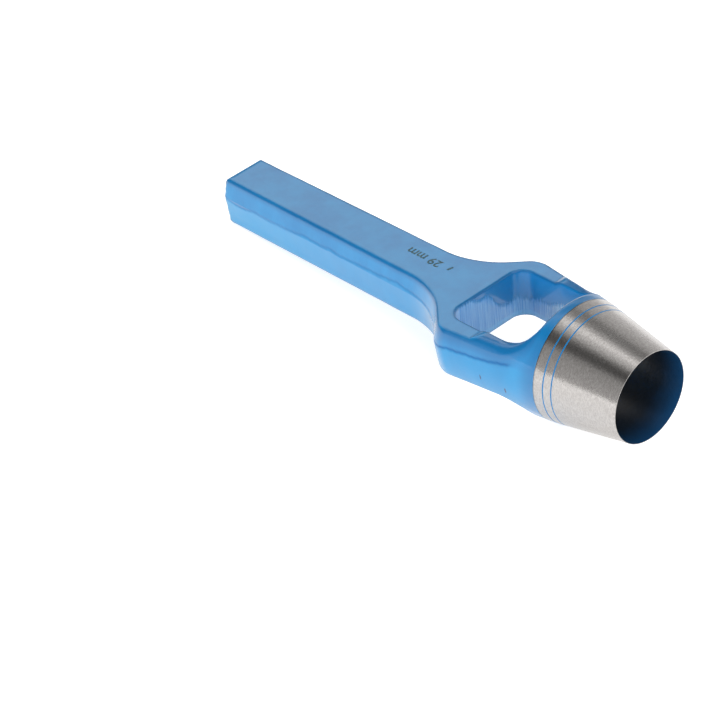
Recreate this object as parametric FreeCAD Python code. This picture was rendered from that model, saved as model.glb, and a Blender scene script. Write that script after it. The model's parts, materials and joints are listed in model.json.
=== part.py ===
import FreeCAD, Part
import math
import os

# Hollow punch for cutting discs and holes in leather, gasket board and rubber.
# It is one forging: a struck shank, a yoke with a slug window, and a ground cutting ring.
# Sizes are in millimetres and angles in degrees.
# While it is modelled, X runs along the tool and out of the cutting mouth, Z stands square
# to the milled flats, and the origin is the centre of the mouth. At the end the tool is laid
# down as it comes to rest, on the heel of its shank and the widest ring of its head.

# Overall
tool_length = 170.8

# Cutting ring
bore_diameter = 29.0
cutting_edge_width = 0.15
bore_land_length = 12.0
bore_relief = 0.3
ring_wall = 4.9
ground_length = 27.7

# Two fine grooves turned into the ground cone, by their distance from its rear end
groove_setbacks = (6.2, 3.4)
groove_width = 0.4
groove_depth = 0.2

# Forged taper of the head behind the ground cone
head_flare = 3.8
head_flare_length = 33.3

# Shank and neck, measured at the parting plane of the forging
parting_height = 2.0
upper_draft = 12.0
lower_draft = 6.5
shank_end_width = 17.2
shank_neck_width = 18.4
neck_distance = 89.0
neck_radius = 26.7
neck_angle = 44.0
shoulder_radius = 2.5

# Forged thickness, and the flats milled on both sides of shank and yoke
forged_thickness = 18.6
flats_thickness = 16.5
flats_end_distance = 52.0
flats_runout_angle = 24.0

# Scoop that sweeps from the arms up to the rear rim of the cutting ring
rim_band = 3.4
scoop_radius = 12.5

# Slug window, pierced through the yoke
window_rear_distance = 65.3
window_front_gap = 0.3
window_clearance = 1.9
window_offset = 0.4
window_rear_radius = 5.0
window_front_radius = 1.5

# Rounded edges
forged_edge_radius = 1.5
struck_end_chamfer = 0.9
window_edge_radius = 0.9

# Spare length that construction solids run past the tool, and the size below which two places are one
overrun = 8.0
touch = 0.01

# Sizes that follow from the ones above
bore_radius = bore_diameter / 2
relief_radius = bore_radius + bore_relief
edge_radius = bore_radius + cutting_edge_width
ground_end_radius = bore_radius + ring_wall
yoke_radius = ground_end_radius + head_flare
cone_slope = (ground_end_radius - edge_radius) / ground_length
head_slope = head_flare / head_flare_length
scoop_end_distance = ground_length + rim_band
window_front_distance = scoop_end_distance + window_front_gap
window_width = bore_diameter + window_clearance
half_forging = forged_thickness / 2
half_flats = flats_thickness / 2
half_box = yoke_radius + overrun


def head_radius(distance):
    """Radius of the forged head at a distance behind the mouth."""
    return ground_end_radius + head_slope * (distance - ground_length)


def polygon_wire(points):
    """Closed wire through the given points."""
    return Part.makePolygon(list(points) + [points[0]])


def revolved(profile):
    """Solid turned about the tool's axis from a profile of (x, radius) points."""
    wire = polygon_wire([FreeCAD.Vector(x, 0, radius) for x, radius in profile])
    return Part.Face(wire).revolve(FreeCAD.Vector(0, 0, 0), FreeCAD.Vector(1, 0, 0), 360)


def neck_outline(level):
    """Closed outline of shank, neck and flared shoulders at one height of the drafted forging.

    The outline steps inwards by the draft, so its straight runs move sideways and its neck arc
    keeps its centre and grows.
    """
    if level >= parting_height:
        inset = (level - parting_height) * math.tan(math.radians(upper_draft))
    else:
        inset = (parting_height - level) * math.tan(math.radians(lower_draft))

    side = math.atan2((shank_neck_width - shank_end_width) / 2, tool_length - neck_distance)
    turn = math.radians(neck_angle)
    centre_x = -neck_distance - neck_radius * math.sin(side)
    centre_y = shank_neck_width / 2 + neck_radius * math.cos(side)
    radius = neck_radius + inset

    def on_arc(angle):
        return centre_x + radius * math.sin(angle), centre_y - radius * math.cos(angle)

    start = on_arc(side)
    middle = on_arc((side + turn) / 2)
    end = on_arc(turn)
    back_x = -tool_length - overrun
    back = (back_x, start[1] - (start[0] - back_x) * math.tan(side))
    wide = (end[0] + (half_box - end[1]) / math.tan(turn), half_box)
    front = (overrun, half_box)

    def flank(sign):
        def at(point):
            return FreeCAD.Vector(point[0], sign * point[1], level)

        return [
            Part.LineSegment(at(back), at(start)).toShape(),
            Part.Arc(at(start), at(middle), at(end)).toShape(),
            Part.LineSegment(at(end), at(wide)).toShape(),
            Part.LineSegment(at(wide), at(front)).toShape(),
        ]

    def across(point):
        left = FreeCAD.Vector(point[0], point[1], level)
        right = FreeCAD.Vector(point[0], -point[1], level)
        return Part.LineSegment(left, right).toShape()

    return Part.Wire(flank(1) + [across(front)] + flank(-1)[::-1] + [across(back)])


def plan_body():
    """Everything inside the plan outline, drafted away from the parting plane."""
    outlines = [neck_outline(level) for level in (-half_box, parting_height, half_box)]
    return Part.makeLoft(outlines, True, True)


def across_body(outline):
    """Solid of a side-view outline, carried across the whole width of the tool."""
    face = Part.Face(Part.Wire(outline))
    face.translate(FreeCAD.Vector(0, -half_box, 0))
    return face.extrude(FreeCAD.Vector(0, 2 * half_box, 0))


def side_line(x0, z0, x1, z1):
    """Straight edge of a side-view outline."""
    return Part.LineSegment(FreeCAD.Vector(x0, 0, z0), FreeCAD.Vector(x1, 0, z1)).toShape()


def side_body():
    """Everything inside the side view: forged thickness, two scoops, the full height of the ring."""
    back = -tool_length - overrun
    rim = -scoop_end_distance
    scoop_start = rim - scoop_radius
    scoop_top = half_forging + scoop_radius
    along = scoop_radius * math.sqrt(0.5)

    def scoop(sign):
        return Part.Arc(
            FreeCAD.Vector(scoop_start, 0, sign * half_forging),
            FreeCAD.Vector(scoop_start + along, 0, sign * (scoop_top - along)),
            FreeCAD.Vector(rim, 0, sign * scoop_top),
        ).toShape()

    return across_body(
        [
            side_line(back, half_forging, scoop_start, half_forging),
            scoop(1),
            side_line(rim, scoop_top, rim, half_box),
            side_line(rim, half_box, overrun, half_box),
            side_line(overrun, half_box, overrun, -half_box),
            side_line(overrun, -half_box, rim, -half_box),
            side_line(rim, -half_box, rim, -scoop_top),
            scoop(-1),
            side_line(scoop_start, -half_forging, back, -half_forging),
            side_line(back, -half_forging, back, half_forging),
        ]
    )


def head_body():
    """Turned envelope: the ground cone, and the forged taper carried back to the struck end."""
    return revolved(
        [
            (0, 0),
            (0, edge_radius),
            (-ground_length, ground_end_radius),
            (-tool_length, head_radius(tool_length)),
            (-tool_length, 0),
        ]
    )


def is_shoulder_edge(edge):
    """True for the steep edges where the flared neck meets the turned head."""
    ends = [vertex.Point for vertex in edge.Vertexes]
    on_head = all(abs(math.hypot(p.y, p.z) - head_radius(-p.x)) < touch for p in ends)
    box = edge.BoundBox
    return on_head and box.ZLength > max(box.XLength, box.YLength)


def is_struck_edge(edge):
    """True for the edges round the struck end."""
    return edge.BoundBox.XMax < -tool_length + touch


def is_outline_edge(edge):
    """True for the edges round the forged top and bottom, and the rear rims of the ring."""
    box = edge.BoundBox
    outside = max(box.ZMin, -box.ZMax) > half_forging - touch
    behind_ring = box.XMax < -scoop_end_distance
    return outside and behind_ring and box.XLength > touch


def forged_blank():
    """The forging before its flats are milled and its window and bore are cut."""
    blank = plan_body().common(side_body()).common(head_body()).Solids[0]
    blank = blank.makeFillet(shoulder_radius, [e for e in blank.Edges if is_shoulder_edge(e)])
    rounded = [e for e in blank.Edges if is_outline_edge(e) or is_struck_edge(e)]
    return blank.makeFillet(forged_edge_radius, rounded)


def slug_window():
    """Upright cutter for the slug window, with a round in each corner of its plan."""
    rear, front = -window_rear_distance, -window_front_distance
    left, right = window_offset + window_width / 2, window_offset - window_width / 2

    # Each corner with its radius, and the way from it along X and along Y to the window's middle
    corners = (
        (rear, left, window_rear_radius, 1, -1),
        (rear, right, window_rear_radius, 1, 1),
        (front, right, window_front_radius, -1, 1),
        (front, left, window_front_radius, -1, -1),
    )
    rounds = []
    for x, y, radius, inward_x, inward_y in corners:
        bulge = radius * (1 - math.sqrt(0.5))
        on_end = FreeCAD.Vector(x, y + inward_y * radius, -half_box)
        middle = FreeCAD.Vector(x + inward_x * bulge, y + inward_y * bulge, -half_box)
        on_side = FreeCAD.Vector(x + inward_x * radius, y, -half_box)
        counterclockwise = inward_x * inward_y < 0
        ends = (on_side, middle, on_end) if counterclockwise else (on_end, middle, on_side)
        rounds.append(ends)

    edges = []
    for this, following in zip(rounds, rounds[1:] + rounds[:1]):
        edges.append(Part.Arc(*this).toShape())
        edges.append(Part.LineSegment(this[-1], following[0]).toShape())
    return Part.Face(Part.Wire(edges)).extrude(FreeCAD.Vector(0, 0, 2 * half_box))


def is_window_edge(edge):
    """True for the edges that the slug window leaves in the forged top and bottom."""
    box = edge.BoundBox
    outside = max(box.ZMin, -box.ZMax) > half_forging - touch
    within_x = box.XMin > -window_rear_distance - touch and box.XMax < -window_front_distance + touch
    within_y = max(abs(box.YMin - window_offset), abs(box.YMax - window_offset)) < window_width / 2 + touch
    transverse_seam = box.XLength < touch and abs(box.Center.x + window_rear_distance) > touch
    return outside and within_x and within_y and not transverse_seam


def bore_body():
    """Cutter for the bore: a straight land behind the edge, then relief so that slugs fall free."""
    relief_end = -window_front_distance - window_front_radius
    return revolved(
        [
            (overrun, 0),
            (overrun, bore_radius),
            (-bore_land_length, bore_radius),
            (relief_end, relief_radius),
            (relief_end - touch, relief_radius),
            (relief_end - touch, 0),
        ]
    )


def groove_cutters():
    """Square rings that cut the two fine grooves into the ground cone."""
    cutters = []
    for setback in groove_setbacks:
        distance = ground_length - setback
        floor = edge_radius + cone_slope * distance - groove_depth
        low, high = -distance - groove_width / 2, -distance + groove_width / 2
        cutters.append(revolved([(low, floor), (low, half_box), (high, half_box), (high, floor)]))
    return cutters


def flats_cutters():
    """Milling of the two flats, from a chamfer on the struck end to a run-out on the arms."""
    back = -tool_length - overrun
    chamfer_end = -tool_length + struck_end_chamfer
    chamfer_foot = half_flats - struck_end_chamfer
    end = -flats_end_distance
    runout = (half_box - half_flats) / math.tan(math.radians(flats_runout_angle))
    cutters = []
    for sign in (1, -1):
        cutters.append(
            across_body(
                [
                    side_line(back, sign * chamfer_foot, -tool_length, sign * chamfer_foot),
                    side_line(-tool_length, sign * chamfer_foot, chamfer_end, sign * half_flats),
                    side_line(chamfer_end, sign * half_flats, end, sign * half_flats),
                    side_line(end, sign * half_flats, end + runout, sign * half_box),
                    side_line(end + runout, sign * half_box, back, sign * half_box),
                    side_line(back, sign * half_box, back, sign * chamfer_foot),
                ]
            )
        )
    return cutters


def rest_tilt():
    """Nose-up angle, in degrees, at which the heel and the rounded rear rim share one floor."""
    heel_x = -tool_length + struck_end_chamfer
    heel_z = -half_flats
    round_x = -scoop_end_distance + forged_edge_radius
    round_z = forged_edge_radius * math.hypot(1, head_slope) - head_radius(-round_x)
    run = round_x - heel_x
    drop = heel_z - round_z
    tangent = math.asin(forged_edge_radius / math.hypot(run, drop))
    return math.degrees(math.atan2(drop, run) + tangent)


def laid_down(shape):
    """The tool turned nose up by its rest tilt, with its origin under the middle of its box."""
    laid = shape.copy()
    laid.rotate(FreeCAD.Vector(0, 0, 0), FreeCAD.Vector(0, 1, 0), -rest_tilt())
    box = laid.optimalBoundingBox(False)
    laid.translate(FreeCAD.Vector(-box.Center.x, -box.Center.y, -box.ZMin))
    return laid


def hollow_punch():
    """The finished tool in its modelling axes."""
    tool = forged_blank().cut(slug_window())
    tool = tool.makeFillet(window_edge_radius, [e for e in tool.Edges if is_window_edge(e)])
    for cutter in [bore_body()] + groove_cutters() + flats_cutters():
        tool = tool.cut(cutter)
    return tool.Solids[0]


punch = laid_down(hollow_punch())
print("rest tilt", round(rest_tilt(), 3), "degrees")
print("volume", round(punch.Volume), "mm3, valid", punch.isValid())
os.makedirs("parts", exist_ok=True)
punch.exportStep("parts/hollow_punch.step")
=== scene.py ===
import json
import math

import bpy
import numpy as np
from mathutils import Euler, Matrix, Vector


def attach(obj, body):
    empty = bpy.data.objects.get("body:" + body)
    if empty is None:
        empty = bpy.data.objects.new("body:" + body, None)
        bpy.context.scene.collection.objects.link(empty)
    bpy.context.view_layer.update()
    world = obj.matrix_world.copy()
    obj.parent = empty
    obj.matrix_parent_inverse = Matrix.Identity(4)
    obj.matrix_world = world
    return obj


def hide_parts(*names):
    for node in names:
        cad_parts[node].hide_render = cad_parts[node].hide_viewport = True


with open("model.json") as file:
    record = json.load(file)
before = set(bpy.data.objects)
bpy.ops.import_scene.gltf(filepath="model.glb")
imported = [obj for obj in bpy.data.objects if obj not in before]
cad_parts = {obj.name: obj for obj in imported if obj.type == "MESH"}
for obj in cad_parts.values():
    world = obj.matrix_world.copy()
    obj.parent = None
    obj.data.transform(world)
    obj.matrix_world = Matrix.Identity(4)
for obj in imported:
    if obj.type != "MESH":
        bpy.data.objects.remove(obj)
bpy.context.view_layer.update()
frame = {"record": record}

# Hollow punch with a blue enamelled forging and a bare ground cutting ring.
# The shapes are worked out in the tool's own axes, in millimetres: X runs along the tool and
# out of the cutting mouth, Y across it to the far side, Z stands square to the milled flats, and
# the origin is the centre of the mouth. Each mesh is then laid in the frame of the part.
# A pair whose name ends in CHANGE says where a smooth step starts and where it ends.

MM = 0.001

# Main sizes of the tool
TOOL_LENGTH = 170.8
EDGE_RADIUS = 14.65
BORE_RADIUS = 14.5
LAND_LENGTH = 12.0
RELIEF_RADIUS = 14.8
RELIEF_END = 36.4
GROUND_LENGTH = 27.7
GROUND_END_RADIUS = 19.4
YOKE_RADIUS = 23.2
YOKE_DISTANCE = 61.0

# Fine grooves in the ground cone
GROOVE_DISTANCES = (21.5, 24.3)
GROOVE_WIDTH = 0.4
GROOVE_DEPTH = 0.2

# Plan outline of shank and neck at the parting plane, and the draft above and below it
PARTING_HEIGHT = 2.0
UPPER_DRAFT = math.radians(12.0)
LOWER_DRAFT = math.radians(6.5)
SHANK_END_HALF = 8.6
SHANK_NECK_HALF = 9.2
NECK_DISTANCE = 89.0
NECK_RADIUS = 26.7
NECK_TURN = math.radians(44.0)
SHOULDER_ROUND = 2.5

# Side view: forged thickness, milled flats, and the scoop that sweeps up to the ring
FORGED_HALF = 9.3
FLATS_HALF = 8.25
FLATS_END = 52.0
FLATS_RUNOUT = math.radians(24.0)
FLATS_CUTTER_END = 46.0
FLATS_ROUND = 0.35
SCOOP_RADIUS = 12.5
SCOOP_END = 30.7
STRUCK_ROUND = 0.8
STRUCK_CHAMFER = 0.95
CHAMFER_ROUND = 0.3

# Edge of the side view: round on the arms, crisper across to the far arm and up to the rim
ARM_ROUND = 2.4
FAR_ARM_ROUND = 1.3
FAR_ARM_CHANGE = (4.0, 10.0)
RIM_ROUND = 1.4
RIM_CHANGE = (FORGED_HALF + 0.5, FORGED_HALF + 6.0)

# The rim is a little lower than in the CAD model, to stay inside its box
RIM_DROP = 0.12
RIM_DROP_CHANGE = (-38.0, -32.0)

# Slug window, and its lip, which is finer beside the ring
WINDOW_REAR = 65.3
WINDOW_FRONT = 31.4
WINDOW_HALF = 15.45
WINDOW_SHIFT = 0.4
WINDOW_CORNER = 5.0
WINDOW_LIP = 0.7
RING_LIP = 0.35
RING_LIP_CHANGE = (-42.0, -38.0)

# Height of the parting line along the tool, from the struck end to the ring, and its waves
PARTING_LINE = (
    (-170.8, 1.8), (-163.5, 0.9), (-156.0, 2.0), (-153.0, 1.6), (-140.0, 2.0), (-134.0, 2.9),
    (-127.0, 2.4), (-122.6, 3.0), (-118.0, 2.3), (-110.0, 2.8), (-101.0, 2.9), (-94.0, 3.5),
    (-88.0, 2.7), (-63.1, 2.1), (-59.7, 2.9), (-53.5, 3.3), (-47.4, 3.6), (-43.2, 4.2),
    (-39.1, 4.9), (-36.3, 5.6),
)
PARTING_RIPPLE = 0.16
FAR_PARTING_DROP = 0.6
FAR_PARTING_WAVE = 0.3
PARTING_WIDTH = 0.45
PARTING_DEPTH = 0.10
PARTING_END_CHANGE = (-38.0, -35.0)

# Swell of the forged skin, and where it starts behind the ring
SWELL_DEPTH = 0.09
SWELL_CHANGE = (-31.0, -36.0)

# Grid that the forging is meshed on, with room round it for the widest places
FINE_STEP = 0.45
SHANK_STEP = 0.9
FINE_FROM = -97.0
GRID_MARGIN = 1.0
RIM_MARGIN = 0.7

# Meshing: rounds of search for each crossing, reach of a slope, and the weak hold on a vertex
CROSSING_ROUNDS = 3
SLOPE_REACH = 0.03
VERTEX_HOLD = 0.03

# Turned mesh of the ground ring: its fineness, and the length of tool that its map spans
RING_SIDES = 320
OUTER_RUN = 1.5
INNER_RUN = 2.0
MAP_LENGTH = 40.0
SHARP_ANGLE = math.radians(20.0)
STEEL_FACES, LINING_FACES, ENAMEL_FACES = range(3)

# The ring goes on under the edge of the paint, sinking from PAINT_STEP to LAP_DROP. Its mouth
# is a little behind the CAD model's, to stay inside its box, and its bore is a little inside
# the forging's, so that no faces coincide.
PAINT_LAP = 0.8
PAINT_STEP = 0.06
LAP_DROP = 0.25
MOUTH_INSET = 0.01
BORE_PROUD = 0.01

# What the enamel reads for each vertex, as shares from 0 to 1
PAINT_SHARES = ("parting", "edge", "painted_shade", "wall", "lower", "satin")

# How near a vertex is to the edge round a flat, the window's plan or the bore to belong to it
EDGE_WIDTH = 0.6
WALL_REACH = 0.12
BORE_REACH = 0.2

# The seam is on the outer sides only and fainter on the shank. Below it the enamel is paler with
# painted light from below, less so towards the neck, and on the far arm the enamel under the
# painted shade of the rounds has a satin surface.
SEAM_LEAST_Y = 7.0
SEAM_OFF_WINDOW = 2.0
SHANK_SEAM = 0.5
SEAM_CHANGE = (-72.0, -62.0)
LOWER_LIGHT_LOSS = 0.55
LOWER_LIGHT_CHANGE = (-165.0, -110.0)
SATIN_ALONG_CHANGE = (-52.0, -46.0)
SATIN_ACROSS_CHANGE = (3.0, 8.0)

# Painted shade darkens the enamel on the forged rounds, in a wider band on the arms than on the
# neck. It leaves out the flats, the rim and the lower half, and darkens a little along the paint's
# edge.
PAINTED_SHADE_COVER = 0.9
NECK_ROUND_DEPTH = -3.6
ARM_EXTRA_DEPTH = 3.4
ARM_DEPTH_CHANGE = (-74.0, -66.0)
ROUND_TOP = -1.4
OFF_FLATS_CHANGE = (-0.2, -0.7)
OFF_RIM_CHANGE = (-29.2, -31.2)
ABOVE_CHANGE = (-4.0, 2.0)
PAINT_EDGE_SHARE = 0.75
PAINT_EDGE_CHANGE = (-34.5, -28.5)

# Display colours of the enamel: dark and pale clouds, painted light on the lower half, painted
# shade on the rounds, painted light on the window's walls and a painted reflection at their foot,
# the darker seam, darker edges round the flats, and nicks
ENAMEL_DEEP = (11, 125, 186)
ENAMEL_PALE = (19, 138, 198)
LOWER_PAINTED_LIGHT = (14, 146, 202)
ENAMEL_PAINTED_SHADE = (7, 102, 160)
WALL_PAINTED_LIGHT = (11, 130, 199)
FOOT_PAINTED_REFLECTION = (110, 196, 250)
ENAMEL_SEAM = (6, 88, 150)
ENAMEL_EDGE = (6, 72, 126)
ENAMEL_NICK = (16, 50, 88)
WALL_LIGHT_COVER = 0.8
FOOT_REFLECTION_COVER = 0.7
SEAM_COVER = 0.75
EDGE_COVER = 0.75
FOOT_REFLECTION_CHANGE = (-5.6, -6.4)

# Painted reflection of the floor on the lower, streaked part of the window's walls, up to a ragged
# line. The base height is the lowest height of the line, waves and teeth add to it, and each rise
# has its axis, its start, its end and its height.
REFLECTION_EDGE_BASE = -5.7
REFLECTION_EDGE_WAVES = 4.0
REFLECTION_EDGE_TEETH = 5.5
REFLECTION_EDGE_RISES = (("Y", 8.0, 1.0, 6.4), ("Y", 4.0, -11.0, 3.4), ("X", -60.0, -46.0, 3.0))
REFLECTION_EDGE_SHARPNESS = 0.75
REFLECTION_REAR = ((40, 148, 226), (128, 198, 248))
REFLECTION_FAR = ((104, 182, 236), (198, 230, 248))
REFLECTION_CHANGE = (-58.0, -48.0)

# Depth of the fine relief of each finish, and the weights of what makes it up
ENAMEL_RELIEF = 0.12
PEEL_WEIGHT = 0.14
STREAK_WEIGHT = 1.4
LINING_RELIEF = 0.07
STEEL_RELIEF = 0.0065
DIMPLE_WEIGHT = 4.5

# Display colours of the bore by the share of LINING_DEPTH from the mouth, shifted and clouded
LINING_COLOURS = ((0.0, (22, 72, 116)), (0.6, (22, 34, 48)), (1.0, (20, 24, 30)))
LINING_DEPTH = 15.0
LINING_SHIFT = 0.12
LINING_CLOUDS = 0.25

# Display colours of the ground steel, and of its grimy end beside the paint
STEEL_DULL = (170, 165, 162)
STEEL_BRIGHT = (208, 205, 202)
STEEL_GRIME = (70, 84, 98)
GRIME_CHANGE = (-27.0, -27.5)
GRIME_RAGGEDNESS = 0.5

# Nicks in the enamel of the near arm: place along the tool, height, half length, half height
NICKS = ((-47.0, -2.7, 0.3, 1.2), (-38.2, -4.2, 0.35, 1.1))
NICK_REACH = 1.5
NICK_SHARPNESS = 2.0

# Size mark on the upper flat. It reads from the ring towards the struck end, with the feet of
# its letters towards +Y. Each text has the places where it starts and ends along the tool, and
# the places of its foot and its top across it.
SIZE_MARK = (
    ("29", -84.6, -89.2, 2.9, -0.5),
    ("mm", -90.9, -98.0, 2.7, 0.3),
)
MARK_TICK = ((-81.7, 0.8), (-80.9, 0.7), (-80.4, 2.8), (-81.2, 2.9))
MARK_DARK = (44, 78, 84)
MARK_PALE = (78, 116, 130)
MARK_PROUD = 0.012
MARK_DEPTH = 0.05
MARK_CURVE_STEPS = 4
MARK_BOLDNESS = 0.02

# Floor, with its glow to the camera and to what mirrors it
FLOOR_HALF = 3.0
FLOOR_SHADE = 0.86
GLOW_SEEN = 0.7
GLOW_MIRRORED = 0.5

# Brightness of the room in strips along the tool, by the angle in degrees from straight above
# towards the far side, as shares of ROOM_PEAK
ROOM_PEAK = 1.6
ROOM_STRIPS = (
    (-90, 0.36), (-75, 0.34), (-57, 0.29), (-47, 0.27), (-40, 0.13), (-34, 0.06), (-27, 0.06),
    (-20, 0.11), (-12, 0.34), (-2, 0.52), (6, 0.80), (11, 0.64), (17, 0.33), (26, 0.17),
    (35, 0.10), (44, 0.20), (53, 0.34), (63, 0.42), (75, 0.50), (90, 0.55),
)

# Brightness beyond the struck end by the sine of the elevation, as a bright panel on a dark
# wall, and of the corner on its near side. The changes are in parts of a direction of length 1.
END_PANEL = ((0.0, 0.08), (0.36, 0.08), (0.48, 0.90), (0.64, 0.90), (0.74, 0.08))
NEAR_CORNER = 0.06
END_CHANGE = (-0.47, -0.57)
FAR_SIDE_CHANGE = (0.1, 0.35)
NEAR_SIDE_CHANGE = (-0.1, -0.3)

# Soft lamps: name, place and size in metres, and power in watts
LAMPS = (
    ("near_fill", (0.05, -1.25, 0.24), (1.2, 0.5), 12.3),
    ("overhead", (0.1, 0.3, 1.2), (1.0, 1.0), 2.6),
    ("front_fill", (1.0, -0.2, 0.75), (0.8, 0.8), 4.5),
)
LAMP_TARGET = Vector((0.0, 0.0, 0.02))

# Camera in the tool's axes, in metres and degrees, with its lens and sensor in millimetres
CAMERA_PLACE = Vector((0.5744, -0.6042, 0.6239))
CAMERA_TURN = (53.964, 4.705, 45.724)
CAMERA_LENS = 181.87
CAMERA_SENSOR = 36.0


def tool_matrix(record):
    """Matrix from the tool's axes in metres to the frame of the part, read from the bore mount."""
    bore = next(mount for mount in record["mounts"] if mount["name"] == "cutting_bore")
    along = Vector(bore["axis"]).normalized()
    across = Vector((0.0, 1.0, 0.0))
    up = along.cross(across)
    mouth = Vector(bore["pos_m"]) + along * (bore["dims"]["length_mm"] * MM / 2)
    turn = Matrix((along, across, up)).transposed().to_4x4()
    return Matrix.Translation(mouth) @ turn


def round_edge(a, b, radius):
    """Intersection of two distance fields, with the edge between them rounded."""
    corner = np.hypot(np.maximum(a + radius, 0.0), np.maximum(b + radius, 0.0))
    return np.minimum(np.maximum(a, b), -radius) + corner


def smooth_step(value, start, end):
    """Goes smoothly from 0 at start to 1 at end."""
    share = np.clip((value - start) / (end - start), 0.0, 1.0)
    return share * share * (3.0 - 2.0 * share)


def head_slope():
    """Growth of the forged head's radius along the axis, away from the mouth."""
    return (YOKE_RADIUS - GROUND_END_RADIUS) / (YOKE_DISTANCE - GROUND_LENGTH)


def head_radius(x):
    """Radius of the forged head at a place on the tool's axis."""
    return GROUND_END_RADIUS + head_slope() * (-x - GROUND_LENGTH)


def cone_radius(x):
    """Radius of the ground cone at a place on the tool's axis."""
    return EDGE_RADIUS + (GROUND_END_RADIUS - EDGE_RADIUS) * -x / GROUND_LENGTH


def bore_radius(x):
    """Radius of the bore at a place on the tool's axis: a straight land, then a slight relief."""
    share = np.clip((-x - LAND_LENGTH) / (RELIEF_END - LAND_LENGTH), 0.0, 1.0)
    return BORE_RADIUS + (RELIEF_RADIUS - BORE_RADIUS) * share


def parting_height(x, y):
    """Height of the parting line, a little different on the two sides of the tool."""
    places, heights = zip(*PARTING_LINE)
    ripple = PARTING_RIPPLE * np.sin(1.9 * x) * np.sin(0.83 * x + 0.6)
    near = np.interp(x, places, heights) + ripple
    far = near - FAR_PARTING_DROP - FAR_PARTING_WAVE * np.sin(x * 0.35)
    return np.where(y > 0.0, far, near)


def parting_share(x, y, z):
    """1 on the parting line, falling to 0 beside it and towards the ring."""
    offset = (z - parting_height(x, y)) / PARTING_WIDTH
    return np.exp(-offset * offset) * (1.0 - smooth_step(x, *PARTING_END_CHANGE))


def edge_share(x, y, z):
    """1 on the edges round the milled flats, falling to 0 beside them."""
    outline = np.maximum(plan_field(x, y, z), head_field(x, np.hypot(y, z)))
    off_edge = np.minimum(np.abs(outline), np.abs(window_field(x, y)))
    off_flat = np.abs(flats_field(x, z))
    return np.exp(-((np.hypot(off_edge, off_flat) / EDGE_WIDTH) ** 2))


def painted_shade_share(x, y, z):
    """1 where shade is painted into the enamel: on the rounds of the arms, the scoops and its edge.
    """
    round_depth = NECK_ROUND_DEPTH - ARM_EXTRA_DEPTH * smooth_step(x, *ARM_DEPTH_CHANGE)
    on_round = smooth_step(side_field(x, z), round_depth, ROUND_TOP)
    off_flats = smooth_step(flats_field(x, z), *OFF_FLATS_CHANGE)
    off_rim = smooth_step(x, *OFF_RIM_CHANGE)
    above = smooth_step(z, *ABOVE_CHANGE)
    at_paint_edge = PAINT_EDGE_SHARE * smooth_step(x, *PAINT_EDGE_CHANGE)
    return np.maximum(on_round * off_flats * off_rim * above, at_paint_edge)


def forging_swell(x, y, z):
    """Low swells that a drop forging keeps under its paint, from 0 to 1.

    They are crossing waves, given in radians per millimetre, which never repeat on the tool.
    """
    bend = 0.9 * np.sin(0.17 * z + 0.4)
    long_waves = np.sin(0.31 * x + bend) * np.cos(0.42 * z + 0.11 * x + 0.2 * y)
    short_waves = np.sin(0.73 * x - 0.58 * z + 1.3) * np.cos(0.23 * x + 0.37 * y)
    return 0.5 + (long_waves + 0.6 * short_waves) / 3.2


def plan_field(x, y, z):
    """Distance outside the drafted plan outline of shank, neck and shoulders."""
    side = math.atan2(SHANK_NECK_HALF - SHANK_END_HALF, TOOL_LENGTH - NECK_DISTANCE)
    ahead = x + NECK_DISTANCE + NECK_RADIUS * math.sin(side)
    inward = SHANK_NECK_HALF + NECK_RADIUS * math.cos(side) - np.abs(y)
    angle = np.clip(np.arctan2(ahead, inward), side, NECK_TURN)
    outline = NECK_RADIUS - ahead * np.sin(angle) - inward * np.cos(angle)
    level = z - PARTING_HEIGHT
    draft = np.where(level > 0.0, UPPER_DRAFT, LOWER_DRAFT)
    return (outline + np.abs(level) * np.tan(draft)) * np.cos(draft)


def side_field(x, z):
    """Distance outside the forged side view, with the scoops that sweep up to the ring."""
    ahead = x + SCOOP_END + SCOOP_RADIUS
    below = FORGED_HALF + SCOOP_RADIUS - np.abs(z)
    angle = np.clip(np.arctan2(ahead, below), 0.0, math.pi / 2)
    return SCOOP_RADIUS - ahead * np.sin(angle) - below * np.cos(angle)


def head_field(x, radius):
    """Distance outside the tapered head."""
    return (radius - head_radius(x)) / math.hypot(1.0, head_slope())


def flats_field(x, z):
    """Distance outside the milled flats, their run-out and the chamfers of the struck end."""
    above = np.abs(z) - FLATS_HALF
    runout = above * math.cos(FLATS_RUNOUT) - (x + FLATS_END) * math.sin(FLATS_RUNOUT)
    milled = np.minimum(np.minimum(above, runout), -FLATS_CUTTER_END - x)
    chamfer = (above - x - TOOL_LENGTH + STRUCK_CHAMFER) * math.sqrt(0.5)
    return round_edge(milled, chamfer, CHAMFER_ROUND)


def window_field(x, y):
    """Distance outside the slug window's plan."""
    half_length = (WINDOW_REAR - WINDOW_FRONT) / 2
    middle = -(WINDOW_REAR + WINDOW_FRONT) / 2
    over_x = np.abs(x - middle) - half_length + WINDOW_CORNER
    over_y = np.abs(y - WINDOW_SHIFT) - WINDOW_HALF + WINDOW_CORNER
    outside = np.hypot(np.maximum(over_x, 0.0), np.maximum(over_y, 0.0))
    return outside + np.minimum(np.maximum(over_x, over_y), 0.0) - WINDOW_CORNER


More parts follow.
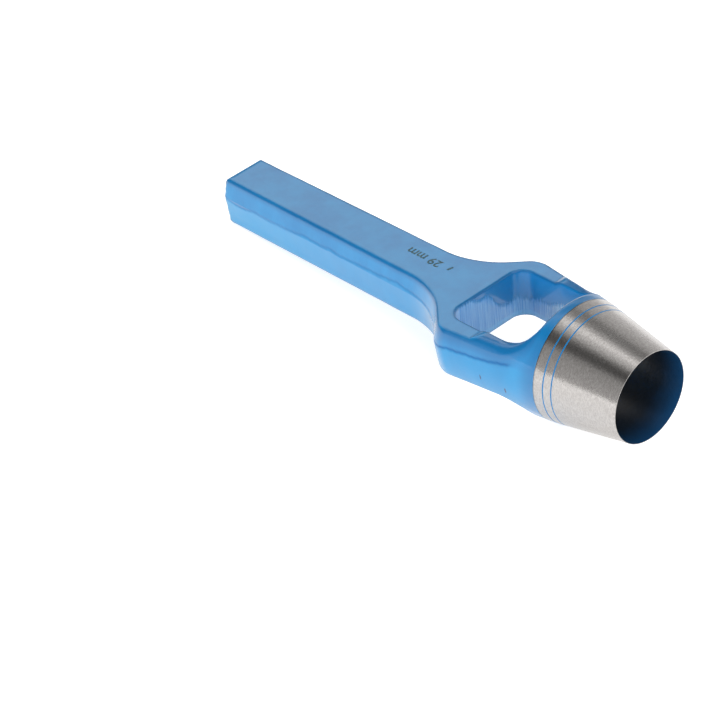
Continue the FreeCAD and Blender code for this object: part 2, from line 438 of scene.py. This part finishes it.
def forging_field(x, y, z):
    """Distance outside the whole painted forging, negative inside the metal."""
    radius = np.hypot(y, z)
    wear = SWELL_DEPTH * forging_swell(x, y, z) + PARTING_DEPTH * parting_share(x, y, z)
    plan = plan_field(x, y, z) + wear
    head = head_field(x, radius) + wear * smooth_step(x, *SWELL_CHANGE)
    head = head + RIM_DROP * smooth_step(x, *RIM_DROP_CHANGE)
    body = round_edge(plan, head, SHOULDER_ROUND)
    arm = ARM_ROUND + (FAR_ARM_ROUND - ARM_ROUND) * smooth_step(y, *FAR_ARM_CHANGE)
    side_round = arm + (RIM_ROUND - arm) * smooth_step(np.abs(z), *RIM_CHANGE)
    body = round_edge(body, side_field(x, z), side_round)
    body = round_edge(body, -x - TOOL_LENGTH, STRUCK_ROUND)
    body = round_edge(body, flats_field(x, z), FLATS_ROUND)
    lip = WINDOW_LIP + (RING_LIP - WINDOW_LIP) * smooth_step(x, *RING_LIP_CHANGE)
    body = round_edge(body, -window_field(x, y), lip)
    body = round_edge(body, np.minimum(bore_radius(x) - radius, x + RELIEF_END), FLATS_ROUND)
    return np.maximum(body, x + GROUND_LENGTH)


def grid_steps(low, high, step):
    """Evenly spaced places from low to at least high."""
    return low + step * np.arange(int(math.ceil((high - low) / step)) + 1)


def crossing_points(field, axes, value, axis):
    """Where the surface crosses the grid lines along one axis.

    Returns the crossing points, the grid index at the low end of each crossed line, and
    whether the metal is on the low side.
    """
    low = [slice(None)] * 3
    high = [slice(None)] * 3
    low[axis] = slice(None, -1)
    high[axis] = slice(1, None)
    low_value, high_value = value[tuple(low)], value[tuple(high)]
    crossed = (low_value < 0.0) != (high_value < 0.0)
    index = np.argwhere(crossed)
    start, end = low_value[crossed], high_value[crossed]
    point = np.stack([axes[k][index[:, k]] for k in range(3)], axis=1)
    near = point[:, axis].copy()
    far = axes[axis][index[:, axis] + 1]
    inside_low = start < 0.0
    for _ in range(CROSSING_ROUNDS):
        middle = near + (far - near) * start / (start - end)
        point[:, axis] = middle
        found = field(*point.T)
        same = (found < 0.0) == (start < 0.0)
        near, start = np.where(same, middle, near), np.where(same, found, start)
        far, end = np.where(same, far, middle), np.where(same, end, found)
        flat = np.abs(start - end) < 1e-12
        start = np.where(flat, start - 1e-9, start)
    return point, index, inside_low


def field_normals(field, point):
    """Unit normals of a distance field, by central differences."""
    slopes = []
    for axis in range(3):
        shift = np.zeros(3)
        shift[axis] = SLOPE_REACH
        slopes.append(field(*(point + shift).T) - field(*(point - shift).T))
    normal = np.stack(slopes, axis=1)
    return normal / np.maximum(np.linalg.norm(normal, axis=1, keepdims=True), 1e-12)


def contour(field, axes):
    """Closed quad mesh of the surface where the field is zero: (vertices, quads).

    Each grid cell that the surface passes through gets one vertex, at the place that best fits
    the tangent planes of the surface on the cell's edges, so that edges stay crisp. A weak hold
    on the middle of the cell's crossings settles the directions that the planes leave open.
    """
    value = field(*np.meshgrid(*axes, indexing="ij"))
    cells_across = [len(places) - 1 for places in axes]
    around = ((-1, -1), (0, -1), (0, 0), (-1, 0))
    cell_keys, cell_points, cell_normals, quads = [], [], [], []
    for axis in range(3):
        point, index, inside_low = crossing_points(field, axes, value, axis)
        normal = field_normals(field, point)
        second, third = (axis + 1) % 3, (axis + 2) % 3
        corners = []
        for step_second, step_third in around:
            cell = index.copy()
            cell[:, second] += step_second
            cell[:, third] += step_third
            key = np.ravel_multi_index(cell.T, cells_across)
            corners.append(key)
            cell_keys.append(key)
            cell_points.append(point)
            cell_normals.append(normal)
        quad = np.stack(corners, axis=1)
        quads.append(np.where(inside_low[:, None], quad, quad[:, ::-1]))
    keys, cell_of = np.unique(np.concatenate(cell_keys), return_inverse=True)
    points = np.concatenate(cell_points)
    normals = np.concatenate(cell_normals)

    def per_cell(values):
        return np.bincount(cell_of, weights=values, minlength=len(keys))

    count = per_cell(np.ones(len(points)))
    middle = np.stack([per_cell(points[:, k]) for k in range(3)], axis=1) / count[:, None]
    offset = np.einsum("ij,ij->i", normals, points - middle[cell_of])
    matrix = np.empty((len(keys), 3, 3))
    right = np.empty((len(keys), 3))
    for row in range(3):
        right[:, row] = per_cell(normals[:, row] * offset)
        for column in range(3):
            matrix[:, row, column] = per_cell(normals[:, row] * normals[:, column])
    matrix += (VERTEX_HOLD * count)[:, None, None] * np.eye(3)
    vertex = middle + np.linalg.solve(matrix, right[:, :, None])[:, :, 0]
    cell = np.stack(np.unravel_index(keys, cells_across), axis=1)
    low = np.stack([axes[k][cell[:, k]] for k in range(3)], axis=1)
    high = np.stack([axes[k][cell[:, k] + 1] for k in range(3)], axis=1)
    return np.clip(vertex, low, high), np.searchsorted(keys, np.concatenate(quads))


def mesh_object(name, vertices, faces, place, materials):
    """Object with a mesh given in millimetres in the tool's axes, laid in the frame of the part."""
    turn, shift = np.array(place)[:3, :3], np.array(place)[:3, 3]
    laid = np.asarray(vertices) * MM @ turn.T + shift
    mesh = bpy.data.meshes.new(name)
    mesh.from_pydata(laid.tolist(), [], faces)
    mesh.validate()
    for material in materials:
        mesh.materials.append(material)
    made = bpy.data.objects.new(name, mesh)
    bpy.context.scene.collection.objects.link(made)
    store_place(mesh, vertices)
    return made


def store(mesh, name, values):
    """Keeps one number for each vertex, for the materials to read."""
    layer = mesh.attributes.new(name, "FLOAT", "POINT")
    layer.data.foreach_set("value", np.asarray(values, dtype=np.float32))


def store_place(mesh, vertices):
    """Keeps each vertex's place in the tool's axes, in millimetres, for the materials to read."""
    layer = mesh.attributes.new("place", "FLOAT_VECTOR", "POINT")
    layer.data.foreach_set("vector", np.asarray(vertices, dtype=np.float32).ravel())


def linear(display):
    """Colour for a shader from an 8-bit display colour."""
    def convert(level):
        share = level / 255.0
        return share / 12.92 if share <= 0.04045 else ((share + 0.055) / 1.055) ** 2.4

    return (*(convert(level) for level in display), 1.0)


def grey(level):
    """Grey for a shader from a linear level."""
    return (level, level, level, 1.0)


class Nodes:
    """Short way to add nodes to one tree and link them."""

    def __init__(self, tree):
        self.tree = tree

    def add(self, kind, **settings):
        """Adds a node and gives it its settings."""
        node = self.tree.nodes.new(kind)
        for key, value in settings.items():
            setattr(node, key, value)
        return node

    def link(self, output, socket):
        self.tree.links.new(output, socket)

    def feed(self, socket, value):
        """Links an output to the socket, or sets the socket to a plain value."""
        if isinstance(value, bpy.types.NodeSocket):
            self.link(value, socket)
        else:
            socket.default_value = value

    def put(self, node, **values):
        """Feeds inputs of a node by name, with _ for each space."""
        for name, value in values.items():
            self.feed(node.inputs[name.replace("_", " ")], value)

    def math(self, operation, first, second, clamp=False):
        """Result of an operation on two numbers, held between 0 and 1 where clamp is set."""
        node = self.add("ShaderNodeMath", operation=operation, use_clamp=clamp)
        self.feed(node.inputs[0], first)
        self.feed(node.inputs[1], second)
        return node.outputs[0]

    def plus(self, first, second):
        return self.math("ADD", first, second)

    def minus(self, first, second, clamp=False):
        return self.math("SUBTRACT", first, second, clamp)

    def times(self, first, second, clamp=False):
        return self.math("MULTIPLY", first, second, clamp)

    def attribute(self, name, output="Fac"):
        """What a mesh keeps for each vertex under a name."""
        return self.add("ShaderNodeAttribute", attribute_name=name).outputs[output]

    def place(self, axis):
        """The place along one of the tool's axes, in millimetres."""
        split = self.add("ShaderNodeSeparateXYZ")
        self.link(self.attribute("place", "Vector"), split.inputs["Vector"])
        return split.outputs[axis]

    def stretched(self, scale, shift=(0.0, 0.0, 0.0)):
        """The place in the tool's axes, in millimetres, stretched along each axis and shifted."""
        mapping = self.add("ShaderNodeMapping", vector_type="POINT")
        self.put(mapping, Vector=self.attribute("place", "Vector"), Scale=scale, Location=shift)
        return mapping.outputs["Vector"]

    def noise(self, scale, detail=2.0, roughness=0.5):
        """Noise over the surface, with a scale for each axis in features per millimetre."""
        node = self.add("ShaderNodeTexNoise")
        self.put(node, Vector=self.stretched(scale), Scale=1.0, Detail=detail, Roughness=roughness)
        return node.outputs["Fac"]

    def smooth(self, value, start, end):
        """Goes smoothly from 0 where the value is start to 1 where it is end."""
        node = self.add("ShaderNodeMapRange", interpolation_type="SMOOTHSTEP")
        self.put(node, Value=value, From_Min=start, From_Max=end)
        return node.outputs["Result"]

    def ramp(self, value, *stops):
        """Colour ramp through (place, colour) stops."""
        node = self.add("ShaderNodeValToRGB")
        elements = node.color_ramp.elements
        while len(elements) < len(stops):
            elements.new(0.5)
        for element, (place, colour) in zip(elements, stops):
            element.position = place
            element.color = colour
        self.link(value, node.inputs["Fac"])
        return node.outputs["Color"]

    def mix(self, share, first, second):
        """Mix of two colours. Its sockets go by number, because their names repeat."""
        node = self.add("ShaderNodeMix", data_type="RGBA")
        for number, value in ((0, share), (6, first), (7, second)):
            self.feed(node.inputs[number], value)
        return node.outputs[2]

    def bump(self, height, distance_mm):
        """Normal of a fine relief, where a height of 1 stands for the distance."""
        node = self.add("ShaderNodeBump")
        self.put(node, Height=height, Strength=1.0, Distance=distance_mm * MM)
        return node.outputs["Normal"]


def new_material(name):
    """Material with an empty tree that ends in a Principled shader: (material, nodes, shader)."""
    material = bpy.data.materials.new(name)
    material.use_nodes = True
    material.node_tree.nodes.clear()
    nodes = Nodes(material.node_tree)
    shader = nodes.add("ShaderNodeBsdfPrincipled")
    output = nodes.add("ShaderNodeOutputMaterial")
    nodes.link(shader.outputs["BSDF"], output.inputs["Surface"])
    return material, nodes, shader


def nick_mask(nodes):
    """1 in the nicks of the enamel, 0 elsewhere."""
    mask = 0.0
    for x, z, half_length, half_height in NICKS:
        scale = (1 / half_length, 0.0, 1 / half_height)
        length = nodes.add("ShaderNodeVectorMath", operation="LENGTH")
        nodes.link(nodes.stretched(scale, (-x * scale[0], 0.0, -z * scale[2])), length.inputs[0])
        ragged = nodes.plus(length.outputs["Value"], nodes.noise((2.0, 2.0, 2.0)))
        mask = nodes.math("MAXIMUM", mask, nodes.minus(NICK_REACH, ragged, clamp=True))
    on_near_side = nodes.math("LESS_THAN", nodes.place("Y"), 0.0)
    return nodes.times(nodes.times(mask, NICK_SHARPNESS, clamp=True), on_near_side)


def streaked_reflection_mask(nodes):
    """1 on the lower, streaked part of the window's walls, where a reflection of the floor is
    painted, 0 on the smooth part above.
    """
    waves = nodes.times(nodes.noise((0.25, 0.25, 0.0), detail=3.0), REFLECTION_EDGE_WAVES)
    teeth = nodes.times(nodes.noise((1.7, 1.7, 0.0), detail=3.0, roughness=0.7), REFLECTION_EDGE_TEETH)
    edge = nodes.plus(nodes.plus(waves, teeth), REFLECTION_EDGE_BASE)
    for axis, start, end, height in REFLECTION_EDGE_RISES:
        edge = nodes.plus(edge, nodes.times(nodes.smooth(nodes.place(axis), start, end), height))
    share = nodes.times(nodes.minus(edge, nodes.place("Z")), REFLECTION_EDGE_SHARPNESS, clamp=True)
    return nodes.times(share, nodes.attribute("wall"))


def streaked_reflection_colours(nodes, streak):
    """Streaked colour of the painted reflection on the lower walls, paler on the far arm than on
    the rear wall.
    """
    rear, far = (
        nodes.ramp(streak, (0.35, linear(dark)), (0.65, linear(pale)))
        for dark, pale in (REFLECTION_REAR, REFLECTION_FAR)
    )
    return nodes.mix(nodes.smooth(nodes.place("X"), *REFLECTION_CHANGE), rear, far)


def blue_enamel():
    """Glossy blue enamel over milled and forged steel, with painted light and shade, and a painted
    reflection of the floor on the window's lower walls.
    """
    material, nodes, shader = new_material("blue_enamel")
    wall = nodes.attribute("wall")
    seam = nodes.attribute("parting")
    streaked_reflection = streaked_reflection_mask(nodes)
    streak = nodes.noise((2.6, 2.6, 0.06), detail=4.0, roughness=0.65)
    # painted reflection of the floor along the foot of the window's walls
    foot = nodes.times(nodes.smooth(nodes.place("Z"), *FOOT_REFLECTION_CHANGE), wall)
    layers = (
        # painted light: the enamel below the parting line paler, as if lit from below
        (nodes.attribute("lower"), linear(LOWER_PAINTED_LIGHT)),
        # painted shade on the forged rounds and along the paint's edge
        (nodes.attribute("painted_shade"), linear(ENAMEL_PAINTED_SHADE)),
        # painted light: the window's walls a little paler, as if more light reached them
        (nodes.times(wall, WALL_LIGHT_COVER), linear(WALL_PAINTED_LIGHT)),
        # painted reflection of the floor on the lower walls, over their own streaks
        (streaked_reflection, streaked_reflection_colours(nodes, streak)),
        # painted reflection at the foot of the walls
        (nodes.times(foot, FOOT_REFLECTION_COVER), linear(FOOT_PAINTED_REFLECTION)),
        (nodes.times(seam, SEAM_COVER), linear(ENAMEL_SEAM)),
        (nodes.times(nodes.attribute("edge"), EDGE_COVER), linear(ENAMEL_EDGE)),
        (nick_mask(nodes), linear(ENAMEL_NICK)),
    )
    cloud = nodes.noise((0.12, 0.12, 0.05), detail=4.0, roughness=0.6)
    colour = nodes.ramp(cloud, (0.35, linear(ENAMEL_DEEP)), (0.65, linear(ENAMEL_PALE)))
    for share, over in layers:
        colour = nodes.mix(share, colour, over)
    peel = nodes.times(nodes.noise((0.8, 0.8, 0.8)), PEEL_WEIGHT)
    marks = nodes.times(streak, nodes.times(streaked_reflection, STREAK_WEIGHT))
    normal = nodes.bump(nodes.plus(peel, marks), ENAMEL_RELIEF)
    uncoated = nodes.math("MAXIMUM", seam, nodes.attribute("satin"))
    nodes.put(
        shader, Base_Color=colour, Roughness=0.32, Specular_IOR_Level=0.35,
        Coat_Weight=nodes.minus(1.0, uncoated), Coat_Roughness=0.07,
        Normal=normal, Coat_Normal=normal,
    )
    return material


def bore_lining():
    """Thin dark paint on the bore's wall, bluer towards the mouth."""
    material, nodes, shader = new_material("bore_lining")
    depth = nodes.math("DIVIDE", nodes.place("X"), -LINING_DEPTH, clamp=True)
    cloud = nodes.times(nodes.noise((0.25, 0.25, 0.25), detail=3.0), LINING_CLOUDS)
    depth = nodes.plus(nodes.minus(depth, LINING_SHIFT), cloud)
    colour = nodes.ramp(depth, *((place, linear(display)) for place, display in LINING_COLOURS))
    relief = nodes.noise((1.3, 0.7, 0.7), detail=4.0, roughness=0.65)
    nodes.put(
        shader, Base_Color=colour, Roughness=0.36, Normal=nodes.bump(relief, LINING_RELIEF),
    )
    return material


def ground_steel():
    """Bare steel ground round the axis, with fine circular grain."""
    material, nodes, shader = new_material("ground_steel")
    grain = nodes.noise((5.5, 1.5, 1.5), detail=4.0, roughness=0.7)
    patch = nodes.noise((2.4, 1.1, 1.1), detail=3.0)
    both = nodes.plus(grain, patch)
    shade = nodes.times(both, 0.5)
    colour = nodes.ramp(shade, (0.3, linear(STEEL_DULL)), (0.7, linear(STEEL_BRIGHT)))
    ragged = nodes.plus(nodes.place("X"), nodes.times(grain, GRIME_RAGGEDNESS))
    colour = nodes.mix(nodes.smooth(ragged, *GRIME_CHANGE), colour, linear(STEEL_GRIME))
    dimples = nodes.noise((1.5, 1.2, 1.2), detail=4.0, roughness=0.6)
    dimples = nodes.times(dimples, DIMPLE_WEIGHT)
    normal = nodes.bump(nodes.plus(both, dimples), STEEL_RELIEF)
    tangent = nodes.add("ShaderNodeTangent", direction_type="UV_MAP", uv_map="around")
    nodes.put(
        shader, Base_Color=colour, Metallic=1.0, Roughness=0.22, Anisotropic=0.5,
        Anisotropic_Rotation=0.25, Normal=normal, Tangent=tangent.outputs["Tangent"],
    )
    return material


def etched_mark():
    """Dark etched colour of the size mark, thin in places so that it is speckled."""
    material, nodes, shader = new_material("etched_mark")
    speck = nodes.noise((2.5, 2.5, 2.5), detail=3.0)
    colour = nodes.ramp(speck, (0.35, linear(MARK_DARK)), (0.7, linear(MARK_PALE)))
    nodes.put(shader, Base_Color=colour, Roughness=0.5)
    return material


def store_paint_shares(mesh, x, y, z):
    """Keeps for each vertex of the forging what the enamel reads."""
    painted_shade = painted_shade_share(x, y, z)
    to_window = window_field(x, y)
    on_outside = (np.abs(y) > SEAM_LEAST_Y) * (to_window > SEAM_OFF_WINDOW)
    seam = SHANK_SEAM + (1.0 - SHANK_SEAM) * smooth_step(x, *SEAM_CHANGE)
    under_seam = smooth_step(parting_height(x, y) - z, 0.0, 1.0)
    shares = (
        seam * parting_share(x, y, z) * on_outside,
        edge_share(x, y, z),
        # painted shade on the forged rounds
        PAINTED_SHADE_COVER * painted_shade,
        np.abs(to_window) < WALL_REACH,
        # painted light below the parting line, less of it towards the neck
        (1.0 - LOWER_LIGHT_LOSS * smooth_step(x, *LOWER_LIGHT_CHANGE)) * under_seam,
        painted_shade * smooth_step(x, *SATIN_ALONG_CHANGE) * smooth_step(y, *SATIN_ACROSS_CHANGE),
    )
    for name, share in zip(PAINT_SHARES, shares):
        store(mesh, name, share)


def painted_body(place, enamel, lining):
    """The forging from the struck end to the edge of the paint on the ring."""
    along = np.concatenate([
        np.arange(-TOOL_LENGTH - 2 * SHANK_STEP, FINE_FROM, SHANK_STEP),
        grid_steps(FINE_FROM, -GROUND_LENGTH + GRID_MARGIN, FINE_STEP),
    ])
    half_width = YOKE_RADIUS + GRID_MARGIN
    half_height = GROUND_END_RADIUS + GRID_MARGIN + RIM_MARGIN
    across = grid_steps(-half_width, half_width, FINE_STEP)
    upward = grid_steps(-half_height, half_height, FINE_STEP)
    vertices, faces = contour(forging_field, [along, across, upward])
    made = mesh_object("painted_body", vertices, faces.tolist(), place, [enamel, lining])
    mesh = made.data
    store_paint_shares(mesh, *vertices.T)
    x, y, z = vertices[faces].mean(axis=1).T
    in_bore = (np.hypot(y, z) < bore_radius(x) + BORE_REACH) & (x > -RELIEF_END)
    mesh.polygons.foreach_set("material_index", in_bore.astype(np.int32))
    mesh.shade_smooth()
    normals = field_normals(forging_field, vertices) @ np.array(place)[:3, :3].T
    mesh.normals_split_custom_set_from_vertices(normals.tolist())
    return made


def ring_profile():
    """Outer and inner (x, radius) lines of the ground ring, each starting where the other ends."""
    mouth = -MOUTH_INSET
    back = -GROUND_LENGTH - PAINT_LAP
    outer = [(mouth, EDGE_RADIUS)]
    for distance in GROOVE_DISTANCES:
        for x, depth in (
            (-distance + GROOVE_WIDTH / 2, 0.0),
            (-distance + GROOVE_WIDTH / 4, GROOVE_DEPTH),
            (-distance - GROOVE_WIDTH / 4, GROOVE_DEPTH),
            (-distance - GROOVE_WIDTH / 2, 0.0),
        ):
            outer.append((x, cone_radius(x) - depth))
    outer.append((-GROUND_LENGTH, GROUND_END_RADIUS - PAINT_STEP))
    outer.append((back, GROUND_END_RADIUS - LAP_DROP))
    inner = [
        (back, bore_radius(back) - BORE_PROUD),
        (-LAND_LENGTH, BORE_RADIUS),
        (mouth, BORE_RADIUS),
    ]
    return outer, inner


def spread(points, longest):
    """The same line of (x, radius) points with its long runs divided."""
    made = [points[0]]
    for start, end in zip(points, points[1:]):
        parts = max(1, math.ceil(math.dist(start, end) / longest))
        for part in range(1, parts + 1):
            share = part / parts
            made.append(tuple(a + (b - a) * share for a, b in zip(start, end)))
    return made


def turned_mesh(profile):
    """Closed mesh of a line of (x, radius) points turned round the axis: (vertices, faces)."""
    angles = np.linspace(0.0, 2 * math.pi, RING_SIDES, endpoint=False)
    vertices = [
        (x, radius * math.sin(angle), radius * math.cos(angle))
        for x, radius in profile
        for angle in angles
    ]
    faces = []
    for row in range(len(profile)):
        following = (row + 1) % len(profile)
        for column in range(RING_SIDES):
            beside = (column + 1) % RING_SIDES
            faces.append((
                row * RING_SIDES + column, row * RING_SIDES + beside,
                following * RING_SIDES + beside, following * RING_SIDES + column,
            ))
    return vertices, faces


def unwrap_ring(mesh, profile):
    """Maps the turned mesh round and along the axis, for the grain of the steel."""
    uv = mesh.uv_layers.new(name="around")
    for face in mesh.polygons:
        at_join = face.index % RING_SIDES == RING_SIDES - 1
        for corner in face.loop_indices:
            row, step = divmod(mesh.loops[corner].vertex_index, RING_SIDES)
            if at_join and step == 0:
                step = RING_SIDES
            uv.data[corner].uv = (step / RING_SIDES, -profile[row][0] / MAP_LENGTH)


def row_material(profile, outer_count, row):
    """Number of the material of one row of the ring's faces."""
    if outer_count <= row < len(profile) - 1:
        return LINING_FACES
    ends = (profile[row], profile[(row + 1) % len(profile)])
    sunk = max(cone_radius(x) - radius for x, radius in ends) > GROOVE_DEPTH / 2
    return ENAMEL_FACES if sunk and row < outer_count - 1 else STEEL_FACES


def ground_ring(place, steel, lining, enamel):
    """The ground cone with its cutting edge and paint-filled grooves, and the bore inside it."""
    outer, inner = ring_profile()
    outer = spread(outer, OUTER_RUN)
    profile = outer + spread(inner, INNER_RUN)
    vertices, faces = turned_mesh(profile)
    made = mesh_object("ground_ring", vertices, faces, place, [steel, lining, enamel])
    mesh = made.data
    unwrap_ring(mesh, profile)
    for face in mesh.polygons:
        face.material_index = row_material(profile, len(outer), face.index // RING_SIDES)
    mesh.shade_smooth()
    mesh.set_sharp_from_angle(angle=SHARP_ANGLE)
    for name in PAINT_SHARES:
        store(mesh, name, np.zeros(len(vertices)))
    return made


def text_outline(text):
    """Flat mesh of a text as (vertices, faces), with its vertices spread from 0 to 1 both ways."""
    curve = bpy.data.curves.new("text", "FONT")
    curve.body = text
    curve.resolution_u = MARK_CURVE_STEPS
    curve.offset = MARK_BOLDNESS
    holder = bpy.data.objects.new("text", curve)
    bpy.context.scene.collection.objects.link(holder)
    mesh = bpy.data.meshes.new_from_object(holder)
    vertices = np.array([vertex.co[:2] for vertex in mesh.vertices])
    faces = [list(face.vertices) for face in mesh.polygons]
    bpy.data.objects.remove(holder)
    bpy.data.curves.remove(curve)
    bpy.data.meshes.remove(mesh)
    low, high = vertices.min(axis=0), vertices.max(axis=0)
    return (vertices - low) / (high - low), faces


def thin_plate(flat, faces):
    """Thin closed plate over a flat mesh on the upper flat: (vertices, faces)."""
    count = len(flat)
    top = np.column_stack([flat, np.full(count, FLATS_HALF + MARK_PROUD)])
    bottom = np.column_stack([flat, np.full(count, FLATS_HALF - MARK_DEPTH)])
    edges = [edge for face in faces for edge in zip(face, face[1:] + face[:1])]
    inner = set(edges)
    sides = [
        [end, start, start + count, end + count]
        for start, end in edges
        if (end, start) not in inner
    ]
    under = [[corner + count for corner in reversed(face)] for face in faces]
    return np.vstack([top, bottom]), faces + under + sides


def size_mark(place, material):
    """The etched size and its tick on the upper flat."""
    plates = []
    for text, start, end, foot, top in SIZE_MARK:
        outline, outline_faces = text_outline(text)
        along = start + (end - start) * outline[:, 0]
        across = foot + (top - foot) * outline[:, 1]
        plates.append(thin_plate(np.column_stack([along, across]), outline_faces))
    plates.append(thin_plate(np.array(MARK_TICK), [[0, 1, 2, 3]]))
    vertices = np.vstack([plate_vertices for plate_vertices, _ in plates])
    faces = []
    shift = 0
    for plate_vertices, plate_faces in plates:
        faces.extend([corner + shift for corner in face] for face in plate_faces)
        shift += len(plate_vertices)
    return mesh_object("size_mark", vertices, faces, place, [material])


def paint_floor():
    """Plain pale floor that reads white to the camera and keeps a soft shadow."""
    material, nodes, shader = new_material("floor")
    rays = nodes.add("ShaderNodeLightPath")
    to_camera = nodes.times(rays.outputs["Is Camera Ray"], GLOW_SEEN)
    mirrored = nodes.times(rays.outputs["Is Glossy Ray"], GLOW_MIRRORED)
    nodes.put(
        shader, Base_Color=grey(FLOOR_SHADE), Roughness=0.9, Emission_Color=grey(1.0),
        Emission_Strength=nodes.math("MAXIMUM", to_camera, mirrored),
    )
    sides = ((-1, -1), (1, -1), (1, 1), (-1, 1))
    mesh = bpy.data.meshes.new("floor")
    corners = [(x * FLOOR_HALF, y * FLOOR_HALF, 0.0) for x, y in sides]
    mesh.from_pydata(corners, [], [(0, 1, 2, 3)])
    mesh.materials.append(material)
    floor = bpy.data.objects.new("floor", mesh)
    bpy.context.scene.collection.objects.link(floor)


def add_lamp(name, place, size, power):
    """Soft rectangular lamp that faces the tool and stays out of its reflections."""
    data = bpy.data.lights.new(name, "AREA")
    data.shape = "RECTANGLE"
    data.size, data.size_y = size
    data.energy = power
    lamp = bpy.data.objects.new(name, data)
    lamp.location = place
    lamp.rotation_euler = (LAMP_TARGET - Vector(place)).to_track_quat("-Z", "Y").to_euler()
    lamp.visible_glossy = False
    bpy.context.scene.collection.objects.link(lamp)


def room_light(nodes):
    """Light of the room: strips along the tool, and a panel and a dark corner beyond its end."""
    split = nodes.add("ShaderNodeSeparateXYZ")
    nodes.link(nodes.add("ShaderNodeTexCoord").outputs["Generated"], split.inputs["Vector"])
    x, y, z = (split.outputs[axis] for axis in "XYZ")
    angle = nodes.plus(nodes.math("DIVIDE", nodes.math("ARCTAN2", y, z), math.pi), 0.5)
    strips = (((degrees + 90) / 180, grey(level)) for degrees, level in ROOM_STRIPS)
    panel = ((height, grey(level)) for height, level in END_PANEL)
    on_end = nodes.smooth(x, *END_CHANGE)
    on_far_end = nodes.times(on_end, nodes.smooth(y, *FAR_SIDE_CHANGE))
    on_near_end = nodes.times(on_end, nodes.smooth(y, *NEAR_SIDE_CHANGE))
    room = nodes.mix(on_far_end, nodes.ramp(angle, *strips), nodes.ramp(z, *panel))
    return nodes.mix(on_near_end, room, grey(NEAR_CORNER))


def light_scene():
    """The room, which is plain white to the camera, and three soft lamps."""
    world = bpy.data.worlds.new("studio")
    world.use_nodes = True
    world.node_tree.nodes.clear()
    nodes = Nodes(world.node_tree)
    background = nodes.add("ShaderNodeBackground")
    output = nodes.add("ShaderNodeOutputWorld")
    nodes.link(background.outputs["Background"], output.inputs["Surface"])
    rays = nodes.add("ShaderNodeLightPath")
    white = grey(1 / ROOM_PEAK)
    seen = nodes.mix(rays.outputs["Is Camera Ray"], room_light(nodes), white)
    nodes.put(background, Color=seen, Strength=ROOM_PEAK)
    bpy.context.scene.world = world
    for name, place, size, power in LAMPS:
        add_lamp(name, place, size, power)


def add_camera(place):
    """Camera at the photograph's viewing angle."""
    data = bpy.data.cameras.new("camera")
    data.sensor_width = CAMERA_SENSOR
    data.lens = CAMERA_LENS
    camera = bpy.data.objects.new("camera", data)
    turn = Euler([math.radians(degrees) for degrees in CAMERA_TURN]).to_matrix().to_4x4()
    camera.matrix_world = place @ Matrix.Translation(CAMERA_PLACE) @ turn
    bpy.context.scene.collection.objects.link(camera)
    bpy.context.scene.camera = camera


place = tool_matrix(frame["record"])
enamel = blue_enamel()
lining = bore_lining()
steel = ground_steel()

body = painted_body(place, enamel, lining)
ring = ground_ring(place, steel, lining, enamel)
mark = size_mark(place, etched_mark())
for piece, slot in ((body, "blue_enamel"), (ring, "ground_steel"), (mark, "blue_enamel")):
    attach(piece, "root")
    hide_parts("hollow_punch")

paint_floor()
light_scene()
add_camera(place)
bpy.context.scene.view_settings.view_transform = "Standard"
